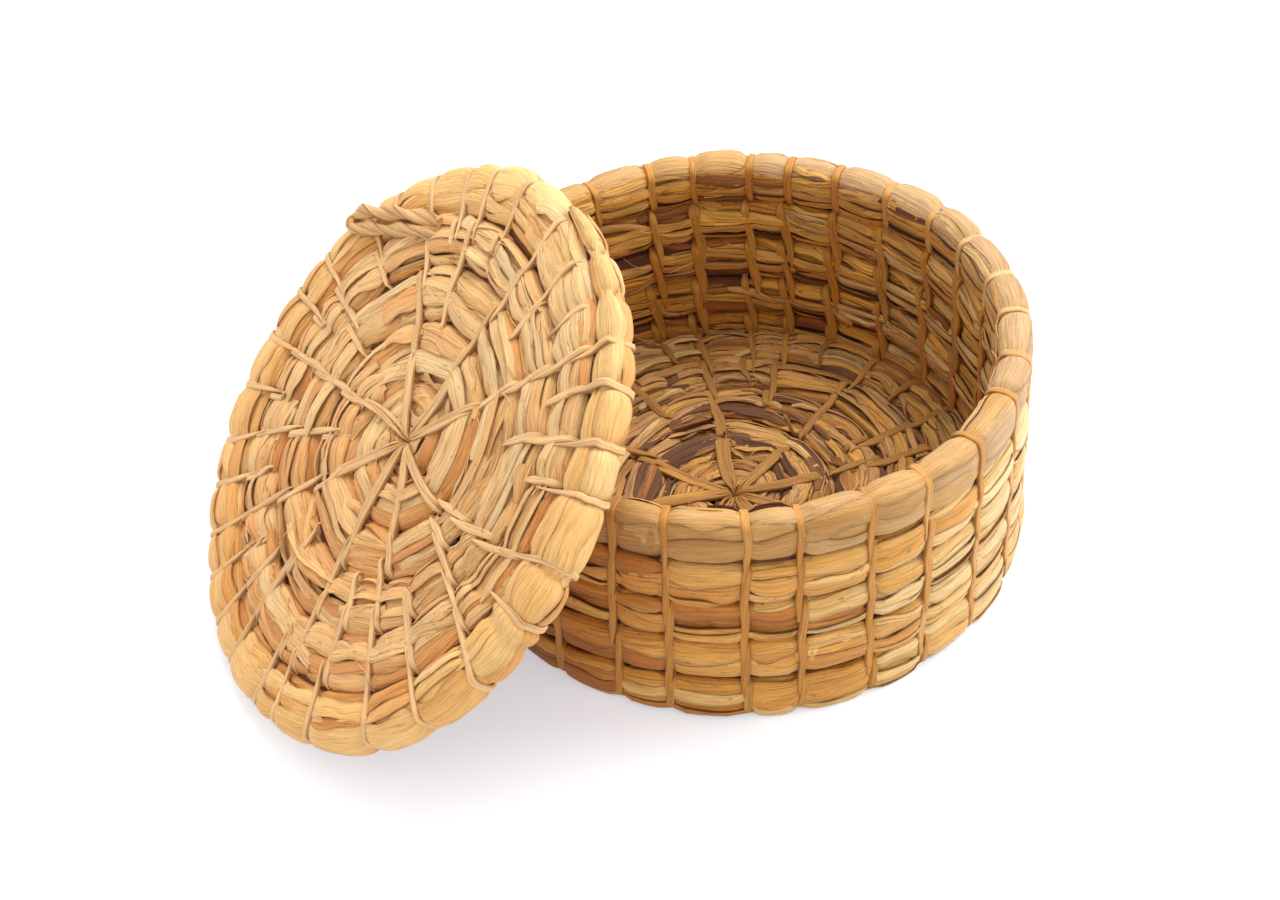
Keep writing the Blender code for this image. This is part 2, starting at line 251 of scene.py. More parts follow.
class Coil:
    """One bundle of grass: where its rows run, how its section is shaped and where it is sewn."""

    power = 3.0
    back_power = 2.8
    face_pinch = 0.001
    row_pinch = 0.0004
    rim_pinch = 0.0008
    swell = 0.00025
    shift = (0, 0)
    dome = 0
    delays = np.zeros(flat_rows)
    turned = np.eye(3)
    moved = np.zeros(3)
    lowest = None
    strip_lowest = None
    # Painted light: how much paler leaves are made on the lamps' side, and darker on the far side
    fade = 0

    def __init__(self, **sizes):
        vars(self).update(sizes)
        self.half = self.thickness / 2
        self.round_angles = np.linspace(0, full_turn, section_points)
        across, along = self.section(self.round_angles, self.half, self.pitch / 2)
        steps_round = np.hypot(np.diff(across), np.diff(along))
        self.round_length = steps_round.sum()
        self.round_shares = np.concatenate([[0], np.cumsum(steps_round)]) / self.round_length

    def section(self, angles, half_across, half_along):
        c, s = np.cos(angles), np.sin(angles)
        share = 2 / np.where(c < 0, self.back_power, self.power)
        return half_across * np.sign(c) * np.abs(c) ** share, half_along * np.sign(s) * np.abs(s) ** share

    def sew(self, places):
        """Take the places of the stitches, as turns along the bundle."""
        self.knots = np.array(sorted(places))
        self.cell_swell = uniform(-1, 1, len(self.knots) + 1)

    def edge(self, row, turn):
        step = np.clip(row, 0, len(self.steps) - 1)
        climbed = np.clip((turn - self.delays[step]) / self.steps[step], 0, 1)
        inner = start_hole + (self.start - start_hole) * turn if self.flat else self.start
        return np.where(row < 0, inner, np.minimum(self.start + self.pitch * (row + climbed), self.limit))

    def cell(self, turns):
        row = np.floor(turns).astype(int)
        turn = turns - row
        return self.edge(row - 1, turn), self.edge(row, turn)

    def middle(self, turns):
        low, high = self.cell(turns)
        return (low + high) / 2

    def radius(self, turns):
        return np.maximum(self.middle(turns), least_radius) if self.flat else self.centre + 0 * turns

    def turns_at(self, row, angle):
        return row + ((angle - self.phase) / full_turn) % 1

    def near(self, turns):
        """How near a stitch a place is, from 0 to 1, its share of the way between two, and the cell."""
        after = np.clip(np.searchsorted(self.knots, turns), 1, len(self.knots) - 1)
        left, right = self.knots[after - 1], self.knots[after]
        away = np.abs(np.minimum(turns - left, right - turns)) * full_turn * self.radius(turns)
        tight, wide = (np.exp(-(away / reach) ** 2) for reach in (stitch_reach, cell_reach))
        close = tight_share * tight + wide_share * wide
        return close, np.clip((turns - left) / (right - left), 0, 1), after

    def spot(self, across_rows, out, angle):
        """Point at a place across the rows, a distance out from the bundle's middle and an angle."""
        if self.flat:
            radius, height = across_rows, self.centre + out
        else:
            radius, height = self.centre + out, across_rows
        x, y, z = radius * np.cos(angle), radius * np.sin(angle), height + 0 * angle
        if self.flat:
            inward = np.maximum(0, 1 - np.abs(radius) / self.reach)
            x, y = x + self.shift[0] * inward, y + self.shift[1] * inward
            z = z + self.dome * (1 - np.minimum(1, (radius / self.reach) ** 2))
        return np.stack(np.broadcast_arrays(x, y, z), -1) @ self.turned.T + self.moved

    def exposed(self, high):
        return smooth((high - (self.limit - self.pitch / 3)) / (self.pitch / 3))

    def surface(self, turns, share, height, tuck=0, sag=1):
        """Points on the bundle: turns along it, share of the way round its section, height above it."""
        low, high = self.cell(turns)
        if self.flat:
            low = low - centre_overlap * (turns < 1)
        else:
            ended = np.clip((self.last - turns) / end_run, end_least_share, 1)
            high = low + (high - low) * ended
            height = height * ended
        low = low - tuck
        close, between, cell = self.near(turns)
        height = np.where(height > 0, height * (1 - press_share * close), height)
        swell = self.cell_swell[cell] * np.sin(math.pi * between) * self.swell
        full = np.clip((high - low) / self.pitch, 0, 1)
        across = (self.half - self.face_pinch * close + swell) * full ** taper_power
        along = (high - low) / 2 * row_overlap_share - self.row_pinch * close
        angle = np.interp(share % 1, self.round_shares, self.round_angles)
        outer = np.sin(angle) > 0
        along = along - self.rim_pinch * close * self.exposed(high) * outer
        along = np.maximum(along, least_half)
        out, beyond = self.section(angle, across, along)
        power = np.where(out < 0, self.back_power, self.power)
        normal_out = np.sign(out) * np.abs(out / across) ** (power - 1) / across
        normal_along = np.sign(beyond) * np.abs(beyond / along) ** (power - 1) / along
        size = np.hypot(normal_out, normal_along)
        out = out + height * normal_out / size
        beyond = beyond + height * normal_along / size
        slow, quick = (np.sin(full_turn * count * turns + shift) for count, shift in wobble_waves)
        middle = (low + high) / 2 + wobble * (slow + quick)
        if self.flat:
            stretch = (self.knots[cell] - self.knots[cell - 1]) * full_turn * self.radius(turns)
            bow = np.minimum(stretch ** 2 / 8 / self.radius(turns), most_sag) * 4 * between * (1 - between)
            middle = middle - bow * sag * (1 - self.exposed(high))
        row = np.floor(turns)
        points = self.spot(middle + beyond, out, self.phase + full_turn * (turns - row))
        if self.lowest is not None:
            points[..., 2] = np.maximum(points[..., 2], self.lowest)
        return points


# Sizes and places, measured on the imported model
wall_low, wall_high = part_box("wall_coil")
basket_radius = (wall_high.x - wall_low.x) / 2
basket_height = wall_high.z
base_radius = basket_radius - wall_thickness - row_gap
lift = next(joint for joint in frame["joints"] if joint["name"] == "lid_lift")
lid_normal = Vector(lift["axis"]).normalized()
lid_up = Vector((lid_normal.z, 0, -lid_normal.x))
lid_turned = np.array([lid_up, (0, 1, 0), lid_normal]).T


def lid_place():
    """Middle and radius of the lid, measured on the model's coil along the lid's own axes."""
    node = frame["nodes"]["lid_coil"]
    points = np.array([node.matrix_world @ vertex.co for vertex in node.data.vertices]) @ lid_turned
    low, high = points.min(axis=0), points.max(axis=0)
    middle = np.array(((low[0] + high[0]) / 2, 0, low[2] + lid_thickness / 2))
    return lid_turned @ middle, np.hypot(points[:, 0] - middle[0], points[:, 1]).max()


def flat_coil(radius, **sizes):
    limit = radius + row_gap / 2
    pitch = limit / (flat_rows + 1 / 2)
    return Coil(flat=True, rows=flat_rows, pitch=pitch, start=pitch / 2, limit=limit, reach=radius, **sizes)


lid_centre, lid_radius = lid_place()
wall = Coil(
    name="wall", body="basket", slot="basket_grass", flat=False, rows=wall_rows, steps=wall_step_shares,
    pitch=(basket_height + row_gap) / wall_rows, start=-row_gap / 2, limit=basket_height + row_gap / 2,
    phase=wall_phase, thickness=wall_thickness, centre=basket_radius - wall_thickness / 2,
    reach=basket_radius, last=wall_last, lowest=wall_lowest, strip_lowest=wall_lowest, fade=wall_painted_light)
base = flat_coil(
    base_radius + base_spread, name="base", body="basket", slot="floor_grass", steps=flat_step_shares,
    phase=wall_phase, thickness=base_thickness, centre=base_thickness / 2, shift=base_shift, last=base_last,
    lowest=base_lowest, strip_lowest=base_strip_lowest)
lid = flat_coil(
    lid_radius, name="lid", body="lid", slot="lid_grass", steps=lid_step_shares, delays=lid_step_delays,
    phase=lid_phase, thickness=lid_thickness, centre=0, shift=lid_shift, dome=lid_dome, last=lid_last,
    rim_pinch=lid_rim_pinch, fade=lid_painted_light, turned=lid_turned, moved=lid_centre)

# The wall's section is squarer outside and rounder inside, while its leaves keep their places round it
wall.power = 3.6
wall.back_power = 2.2


def spoke_angle(spoke, radius, reach):
    """Angle of a sewn line at a radius: it leans from where it starts to where it meets the rim."""
    rim, start, begin = spoke
    lean = (begin - rim + 180) % 360 - 180
    return np.radians(rim + lean * np.clip((reach - radius) / (reach - start), 0, 1))


def spoke_knots(coil, spokes):
    places = []
    for spoke in spokes:
        for row in range(coil.rows + 1):
            turns = coil.turns_at(row, math.radians(spoke[0]))
            for repeat in range(settling_rounds):
                radius = float(coil.middle(np.array(turns)))
                turns = coil.turns_at(row, float(spoke_angle(spoke, radius, coil.reach)))
            low, high = coil.cell(np.array(turns))
            if radius > spoke[1] and high - low > coil.pitch / 3:
                places.append(float(turns))
    return places


floor_spokes = tuple((angle, start, angle) for angle, start in zip(wall_columns, floor_starts))
wall.sew([wall.turns_at(row, math.radians(angle)) for row in range(wall_rows + 1) for angle in wall_columns])
base.sew(spoke_knots(base, floor_spokes))
lid.sew(spoke_knots(lid, lid_spokes))


def spread(values, rings):
    """Three values at each point of the rings, from arrays that may be smaller."""
    return np.stack([np.broadcast_to(value, rings.shape[:3]) for value in values], -1).reshape(-1, 3)


def new_object(name, data):
    made = bpy.data.objects.new(name, data)
    bpy.context.scene.collection.objects.link(made)
    return made


class Heap:
    """Ribbons gathered into one mesh, with what their material needs at each point."""

    def __init__(self):
        self.points, self.fibres, self.leaves = [], [], []
        self.corners, self.sizes = [], []
        self.count = 0

    def add(self, rings, fibres, leaves, flip):
        """Ribbons as arrays: ribbon, station along it, point round it, and x, y, z."""
        ribbons, stations, around = rings.shape[:3]
        i, j = np.meshgrid(np.arange(stations - 1), np.arange(around), indexing="ij")
        here, beside = i * around + j, i * around + (j + 1) % around
        quads = np.stack([here, here + around, beside + around, beside], -1).reshape(-1, 4)
        caps = np.stack([np.arange(around), (stations * around - 1) - np.arange(around)])
        if flip:
            quads, caps = quads[:, ::-1], caps[:, ::-1]
        offsets = self.count + np.arange(ribbons)[:, None, None] * stations * around
        for faces in (quads, caps):
            self.corners.append((offsets + faces).ravel())
            self.sizes.append(np.full(ribbons * len(faces), faces.shape[1]))
        self.points.append(rings.reshape(-1, 3))
        self.fibres.append(spread(fibres, rings))
        self.leaves.append(spread(leaves, rings))
        self.count += ribbons * stations * around

    def build(self, name, body, material):
        mesh = bpy.data.meshes.new(name)
        points = np.concatenate(self.points)
        corners, sizes = np.concatenate(self.corners), np.concatenate(self.sizes)
        mesh.vertices.add(len(points))
        mesh.vertices.foreach_set("co", points.ravel())
        mesh.loops.add(len(corners))
        mesh.loops.foreach_set("vertex_index", corners)
        mesh.polygons.add(len(sizes))
        mesh.polygons.foreach_set("loop_start", np.concatenate([[0], np.cumsum(sizes)[:-1]]))
        mesh.update(calc_edges=True)
        mesh.validate()
        mesh.shade_smooth()
        mesh.set_sharp_from_angle(angle=crease_angle)
        for label, values in (("fibre", self.fibres), ("leaf", self.leaves)):
            kept = mesh.attributes.new(label, "FLOAT_VECTOR", "POINT")
            kept.data.foreach_set("vector", np.concatenate(values).ravel())
        mesh.materials.append(material)
        piece = new_object(name, mesh)
        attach(piece, body)
        return piece


def lay(heap, coil, strips, stations, across, tip_share, tip_sink):
    """Leaf strips on a bundle: each follows its rows, meanders a little and tucks its ends in."""
    begin, end, share, width, height, drift, tilt, crown, fold, tone = np.array(strips).T[:, :, None, None]
    ribbons = len(strips)
    x = np.linspace(0, 1, stations)[None, :, None]
    s = np.linspace(-1, 1, across)[None, None, :]
    turns = begin + (end - begin) * x
    metres = (end - begin) * full_turn * coil.radius(begin)
    away = np.minimum(x, 1 - x) * metres
    ends = smooth(away / tip_length)
    waves = uniform(0, full_turn, (4, ribbons, 1, 1))
    counts = uniform(*wave_counts, (2, ribbons, 1, 1))
    swell = 1 + width_wave_share * np.sin(full_turn * counts[0] * x + waves[0])
    half = width / 2 * (tip_share + (1 - tip_share) * ends) * swell
    bend = meander * np.sin(full_turn * counts[1] * x + waves[1])
    centre = share + (drift * (x - 1 / 2) + bend) / coil.round_length

    def at(s):
        folded = fold * np.cos(fold_rate * s + waves[2] + fold_twist * x)
        folded = folded + ripple * np.sin(metres * x * ripple_rate + waves[3] + s)
        above = height + crown * (1 - s * s) + tilt * s + folded * ends - tip_sink * (1 - ends)
        return centre + s * half / coil.round_length, above

    where, above = at(s)
    top = coil.surface(turns, where, above)
    sides = np.array([1, -1])[None, None, :]
    where, above = at(sides)
    under = coil.surface(turns, where, above - leaf_thickness)
    every = np.concatenate([s, sides], axis=2)
    seeds = uniform(*seed_range, (ribbons, 1, 1))
    heap.add(np.concatenate([top, under], axis=2), (every * half, metres * x, seeds),
             (tone, np.abs(every), 1 - ends), coil.flat)


class Leaves:
    """How one layer of leaf strips is laid: where round the section, how wide, long and high."""

    snap = 0.5
    keep = 1
    drift = 0.0015
    tilt = 0.0003
    crown = 0.0002
    fold = 0.0001
    tip = 0.6
    sink = 0.0006
    lean = 0
    lap = 0
    # groove: painted shade, how much darker strips are made towards the creases at the edges of their face
    groove = 0

    def __init__(self, faces, lanes, widths, lengths, heights, tones, **settings):
        vars(self).update(
            settings, faces=faces, lanes=lanes, widths=widths, lengths=lengths, heights=heights, tones=tones)


def plan(coil, leaves, first, last):
    """One layer's strips between two places along the bundle, lane by lane."""
    strips = []
    low, high = leaves.faces
    for lane in range(leaves.lanes):
        turns = first
        while turns < last:
            metre = 1 / (full_turn * float(coil.radius(np.array(turns))))
            length = uniform(*leaves.lengths) * metre
            end = turns + length * (uniform(first_leaf_share, 1) if turns == first else 1)
            near, far = (turns + length * share for share in snap_shares)
            stitch = coil.knots[min(np.searchsorted(coil.knots, near), len(coil.knots) - 1)]
            if uniform() < leaves.snap and turns < stitch < far:
                end = stitch + normal() * snap_spread * metre
            end = min(max(end, turns + least_leaf * metre), last)
            place = lane + 1 / 2 + uniform(-lane_share, lane_share)
            share = low + (high - low) * place / leaves.lanes
            # Painted light and shade: a strip's tone rises on the lamps' side of the bundle and falls on the
            # far side
            tone = normal(*leaves.tones) + coil.fade * math.cos(coil.phase + full_turn * turns - painted_light_angle)
            # Painted shade: strips near the creases between rows get a lower, darker tone
            aside = 2 * (share - low) / (high - low) - 1
            tone = np.clip(tone - leaves.groove * aside ** 2, 0, 1)
            if uniform() < leaves.keep:
                begin = max(turns - overlap_length * metre, coil_begin)
                finish = min(end + overlap_length * metre, coil.last)
                width = uniform(*leaves.widths)
                height = uniform(*leaves.heights) + leaves.lap * (lane % 2)
                height = height + leaves.lap / 2 * (len(strips) % 2)
                drift = leaves.lean + normal() * leaves.drift
                tilt = normal() * leaves.tilt
                crown = (1 + normal() / 2) * leaves.crown
                fold = normal() * leaves.fold
                strips.append((begin, finish, share, width, height, drift, tilt, crown, fold, tone))
            turns = end + turn_nudge
    return strips


def lay_layers(heap, coil, layers, first, last):
    for leaves in layers:
        strips = plan(coil, leaves, first, last)
        stations = max(fewest_stations, int(sum(leaves.lengths) / 2 / segment))
        across = broad_points if max(leaves.widths) > broad_leaf else narrow_points
        lay(heap, coil, strips, stations, across, leaves.tip, leaves.sink)


def add_core(heap, coil):
    """The bundle's hidden middle, a tube a little inside its leaves."""
    length = (coil.last - coil_begin) * full_turn * coil.reach
    turns = np.linspace(coil_begin, coil.last, int(length / core_segment))[None, :, None]
    share = (np.arange(core_points) / core_points)[None, None, :]
    height = -core_depth + core_ripple * np.sin(share * full_turn * core_ripples)
    rings = coil.surface(turns, share, height, core_tuck, 0)
    heap.add(rings, (share * coil.round_length, turns * full_turn * coil.reach, 0), (1 / 2, 0, 0), coil.flat)


def route_through(corners, count):
    """Points on a smooth curve through the corners, evenly spaced."""
    corners = np.asarray(corners, float)
    padded = np.vstack([2 * corners[0] - corners[1], corners, 2 * corners[-1] - corners[-2]])
    t = np.linspace(0, len(corners) - curve_stop, curve_density * len(corners))
    i = t.astype(int)
    f = (t - i)[:, None]
    a, b, c, d = (padded[i + k] for k in range(4))
    dense = 2 * b + (c - a) * f + (2 * a - 5 * b + 4 * c - d) * f ** 2 + (3 * b - a - 3 * c + d) * f ** 3
    dense = dense / 2
    lengths = lengths_along(dense)
    even = np.linspace(0, lengths[-1], count)
    return np.stack([np.interp(even, lengths, column) for column in dense.T], -1)


def ribbon(heap, points, sideways, outward, half, tone, crown=strip_crown, thickness=strip_thickness, edge=1):
    """One ribbon along points, with its own width at each and a faint groove along it."""
    s = groove_places
    sides = np.array([1, -1])
    half = np.broadcast_to(half, len(points))[:, None, None]
    top = points[:, None] + sideways[:, None] * (s[:, None] * half)
    top = top + outward[:, None] * (groove_shares * crown)[:, None]
    under = points[:, None] + sideways[:, None] * (sides[:, None] * half) - outward[:, None] * thickness
    every = np.concatenate([s, sides])[None, None, :]
    along = lengths_along(points)[None, :, None]
    seed = uniform(*seed_range)
    # edge scales the darker edges, partly the leaves' own colour and partly painted shade
    heap.add(np.concatenate([top, under], axis=1)[None], (every * half[None, :, :, 0], along, seed),
             (tone, np.abs(every) * edge, 0), True)


def strap(heap, coil, side, route, angle_at, width, tone, count=strip_stations):
    """A sewing strip. Its route gives places across the rows, distances out and sideways."""
    path = route_through(route, count)
    radius = np.maximum(path[:, 0] if coil.flat else coil.centre + path[:, 1], least_turning)
    angle = angle_at(path[:, 0]) + path[:, 2] / radius
    points = coil.spot(path[:, 0], path[:, 1], angle)
    beside = coil.spot(path[:, 0], path[:, 1], angle + side_step / radius)
    if coil.strip_lowest is not None:
        points[:, 2] = np.maximum(points[:, 2], coil.strip_lowest)
        beside[:, 2] = points[:, 2]
    along = unit(np.gradient(points, axis=0))
    sideways = unit(beside - points) * (-side if coil.flat else side)
    sideways = unit(sideways - along * (sideways * along).sum(-1, keepdims=True))
    x = np.linspace(0, 1, count)
    ends = grow(x, *strip_start_shares) * grow(1 - x, *strip_finish_shares)
    half = width / 2 * ends * (1 + strip_wave_share * np.sin(strip_waves * x + uniform(*phase_range)))
    ribbon(heap, points, sideways, np.cross(sideways, along), half, tone)


def face_level(coil):
    return coil.half - coil.face_pinch + strip_lift


def row_place(coil, row, angle_at):
    """Middle and half size across the rows of one row's cell on a sewn line."""
    angle = angle_at(coil.start + coil.pitch * (row + 1 / 2))
    for repeat in range(2):
        low, high = coil.cell(np.array(coil.turns_at(row, angle)))
        angle = float(angle_at((low + high) / 2))
    return float(low + high) / 2, float(high - low) / 2


def rows_on_line(coil, angle_at, start):
    rows = []
    for row in range(coil.rows + 1):
        middle, half = row_place(coil, row, angle_at)
        turns = coil.turns_at(row, float(angle_at(middle)))
        if half > coil.pitch * least_row_share and middle > start and turns < coil.last:
            rows.append((middle, half))
    return rows


def sew_line(heap, coil, angle_at, start, side, strip, painted_light_tone=0):
    """The strips along one sewn line on one face of a coil, side +1 out or up, -1 in or down."""
    widths, (mean_tone, tone_spread), lean = strip
    level = face_level(coil)
    rows = rows_on_line(coil, angle_at, start)
    for index, (middle, half) in enumerate(rows):
        before = rows[index - 1][0] if index else max(middle - half - first_reach, start)
        tail = before + uniform(*tail_range)
        offset = random.choice([-1, 1]) * uniform(*offset_range)
        skew = lean * uniform(*lean_shares)
        width = uniform(*widths)
        # Painted light raises the tone of strips on the lit side
        tone = np.clip(normal(mean_tone + painted_light_tone, tone_spread), 0, 1)
        foot = index == 0 and not coil.flat
        begin, way = (0, foot_way) if foot else (tail, tail_way)
        route = [(begin + run, side * (level - dip), offset - skew * share) for run, dip, share in way]
        if not foot and middle - half > tail + crease_room:
            route.append((middle - half, side * (level - crease_dip), offset - skew / 4))
        route.append((middle, side * level, offset + skew / 4))
        if index < len(rows) - 1:
            route += [(middle + half * share, side * (level - dip), offset + skew / 2)
                      for share, dip in crease_way]
            strap(heap, coil, side, route, angle_at, width, tone)
        elif side > 0:
            rim = half * row_overlap_share - coil.row_pinch - coil.rim_pinch + strip_lift
            route += [(middle + rim * share, level - dip, offset * aside + skew * leaned)
                      for share, dip, aside, leaned in rim_way]
            route.append((middle + rim, 0, 0))
            route += [(middle + rim * share, dip - level, -offset * aside)
                      for share, dip, aside, leaned in reversed(rim_way)]
            route.append((middle, -level, -offset))
            route += [(middle - half * share, dip - level, -offset - shift) for share, dip, shift in back_way]
            strap(heap, coil, side, route, angle_at, width, tone, rim_stations)


def long_ribbon(heap, coil, angle_at, side, width, tone):
    """A sewing strip from the middle of a spiral over its first rows, split into a few strands."""
    level = face_level(coil) + uniform(*ribbon_lifts)
    bow = normal() * ribbon_bow
    start_dip, turn_dip, end_dip = ribbon_dips
    for strand in (-1, 0, 1):
        lane = strand * width * strand_step_share + normal() * strand_spread
        reach = ribbon_reach * uniform(*strand_reach_shares)
        lift = uniform(*strand_lifts)
        route = [(ribbon_start, side * (level - start_dip), lane / 3),
                 (ribbon_rise, side * (level + lift), lane + bow / 2),
                 (reach / 2, side * (level + lift), lane + bow),
                 (reach * ribbon_turn_share, side * (level - turn_dip), lane + bow / 2),
                 (reach, side * (level - end_dip), lane / 2)]
        strap(heap, coil, side, route, angle_at, width * uniform(*strand_width_shares), tone)


# Layers of leaves, from the bundle outward: face, lanes, widths, lengths, heights, tone and its spread
outer_face = (-0.2, 0.2)
inner_face = (0.3, 0.7)
flat_leaf = {"snap": 1, "drift": 0.0005, "tilt": 0.0001, "crown": 0.0001, "fold": 0}
outer_layers = (
    Leaves(outer_face, 3, (0.006, 0.008), (0.03, 0.08), (-0.0012, -0.0009), (0.3, 0.1), tilt=0.0001),
    Leaves(outer_face, 2, (0.0062, 0.0094), (0.014, 0.04), (-0.0004, -0.0003), (0.43, 0.09), snap=1,
        drift=0.0008, tilt=0.0002, crown=0.0001, fold=0.00004, lap=0.0003),
    Leaves(outer_face, 3, (0.002, 0.0046), (0.01, 0.026), (0.0003, 0.0004), (0.44, 0.1), snap=1, keep=0.38,
        drift=0.001, tilt=0.0001, fold=0, lap=-0.0001))
wall_rim_layers = (
    Leaves((-0.2, 0.4), 4, (0.008, 0.011), (0.03, 0.08), (-0.001, -0.0007), (0.4, 0.1), tilt=0.0001),
    Leaves((0.02, 0.36), 2, (0.0095, 0.0115), (0.014, 0.034), (-0.0003, -0.0002), (0.45, 0.11),
        lap=0.0003, **flat_leaf),
    Leaves((-0.2, 0.04), 1, (0.008, 0.01), (0.014, 0.04), (-0.0004, -0.0003), (0.38, 0.1), snap=1, fold=0))
wall_rim_inner_layers = (
    Leaves((0.3, 0.7), 3, (0.006, 0.008), (0.03, 0.08), (-0.0011, -0.0008), (0.34, 0.14), tilt=0.0001),
    Leaves((0.31, 0.7), 4, (0.003, 0.005), (0.014, 0.034), (-0.0003, -0.0001), (0.5, 0.2), snap=1,
        drift=0.0008, fold=0.00006, lean=-0.0006, lap=0.0003),
    Leaves((0.31, 0.7), 3, (0.0014, 0.0026), (0.009, 0.018), (0.0002, 0.0004), (0.5, 0.24), snap=1, keep=0.4,
        drift=0.0008, tip=0.7, sink=0.0004))
inner_layers = (
    # Its first layer gets a low, dark tone so the gaps between the strips above look dark: painted shade
    Leaves(inner_face, 4, (0.0045, 0.006), (0.02, 0.06), (-0.0014, -0.001), (0.22, 0.08), tilt=0.0002),
    Leaves(inner_face, 4, (0.0026, 0.0044), (0.012, 0.028), (-0.0004, -0.0002), (0.6, 0.21), snap=1,
        drift=0.0007, fold=0.00006, lean=-0.0014, lap=0.0003, groove=0.45),
    Leaves(inner_face, 4, (0.0014, 0.003), (0.009, 0.018), (0.0002, 0.0004), (0.56, 0.26), snap=0.9, keep=0.4,
        drift=0.0012, tip=0.7, sink=0.0004, lean=-0.0018, groove=0.35))
floor_layers = (
    Leaves(outer_face, 5, (0.0036, 0.0048), (0.02, 0.05), (-0.0012, -0.0009), (0.42, 0.14), tilt=0.0002),
    Leaves(outer_face, 5, (0.002, 0.004), (0.01, 0.024), (-0.0004, -0.0001), (0.48, 0.24), snap=0.8,
        drift=0.0014, tilt=0.0004, lap=0.0003, groove=0.2),
    Leaves(outer_face, 5, (0.001, 0.0024), (0.006, 0.016), (0.0002, 0.0004), (0.5, 0.26), snap=0.6, keep=0.4,
        drift=0.0024, tip=0.8, sink=0.0004))
under_layers = (
    Leaves(inner_face, 5, (0.0034, 0.0048), (0.02, 0.06), (-0.0011, -0.0008), (0.45, 0.15), tilt=0.0002),
    Leaves(inner_face, 4, (0.003, 0.005), (0.012, 0.03), (-0.0004, -0.0002), (0.52, 0.18), snap=1,
        lap=0.0003))
lid_layers = (
    Leaves(outer_face, 4, (0.0044, 0.006), (0.02, 0.05), (-0.0012, -0.0009), (0.34, 0.12), tilt=0.0002),
    Leaves(outer_face, 4, (0.0034, 0.0056), (0.01, 0.024), (-0.0005, -0.0002), (0.44, 0.12), snap=1,
        drift=0.0011, tilt=0.0005, crown=0.0001, fold=0.00008, lap=0.0004, groove=0.2),
    Leaves(outer_face, 4, (0.0018, 0.0036), (0.008, 0.018), (0.0002, 0.0004), (0.48, 0.13), snap=0.9,
        keep=0.38, drift=0.002, tilt=0.0004, crown=0.0001, tip=0.85, sink=0.0004))
lid_rim_layers = (
    Leaves((-0.2, 0.7), 6, (0.008, 0.011), (0.03, 0.08), (-0.001, -0.0007), (0.4, 0.1), tilt=0.0001),
    Leaves((-0.2, 0.04), 3, (0.003, 0.005), (0.014, 0.03), (-0.0004, -0.0002), (0.44, 0.14), snap=1,
        drift=0.001, tilt=0.0004, lap=0.0003),
    Leaves((0.01, 0.26), 1, (0.0115, 0.013), (0.014, 0.034), (0, 0.0001), (0.52, 0.09), **flat_leaf),
    # The rim's outer side gets a low, deep orange tone: painted shade of the side turned down
    Leaves((0.26, 0.5), 1, (0.0115, 0.014), (0.014, 0.034), (-0.0003, -0.0002), (0.18, 0.09), **flat_leaf),
    Leaves((0.48, 0.7), 3, (0.0034, 0.0054), (0.014, 0.035), (-0.0004, -0.0002), (0.52, 0.14), lap=0.0003))

# Leaf noises: scales across a leaf, along it and from leaf to leaf, then detail, and the ranges used
fine_noise = ((4200, 160, 7), 2)
line_noise = ((1500, 45, 9), 3)
broad_noise = ((300, 25, 3), 1)
blot_noise = ((900, 350, 5), 2)
grain_range = (0.34, 0.66)
broad_range = (0.3, 0.7)
crack_range = (0.59, 0.63)
stain_range = (0.66, 0.76)
fine_shares = (0.86, 1.08)
tone_drift = 0.08
edge_power = 8
bump_height = 0.0004
leaf_specular = 0.35
leaf_sheen = 0.08
crack_colour = (120, 70, 30)
stain_colour = (104, 58, 26)
# Colour of the darker edges, partly the leaves' own and partly painted shade
edge_colour = (84, 44, 18)

# A colour mix node's sockets: factor, first colour and second colour, then its result
mix_inputs = (0, 6, 7)
mix_result = 2


def linear(colour):
    """A colour as seen on a screen, 0 to 255, as the shader's own values."""
    values = np.array(colour) / 255
    return tuple(np.where(values > 0.04045, ((values + 0.055) / 1.055) ** 2.4, values / 12.92)) + (1,)


def node(tree, kind, inputs, **settings):
    """A shader node. Each input takes a value or another node's output."""
    made = tree.nodes.new("ShaderNode" + kind)
    for label, value in settings.items():
        setattr(made, label, value)
    for label, value in inputs.items():
        if isinstance(value, bpy.types.NodeSocket):
            tree.links.new(value, made.inputs[label])
        else:
            made.inputs[label].default_value = value
    return made


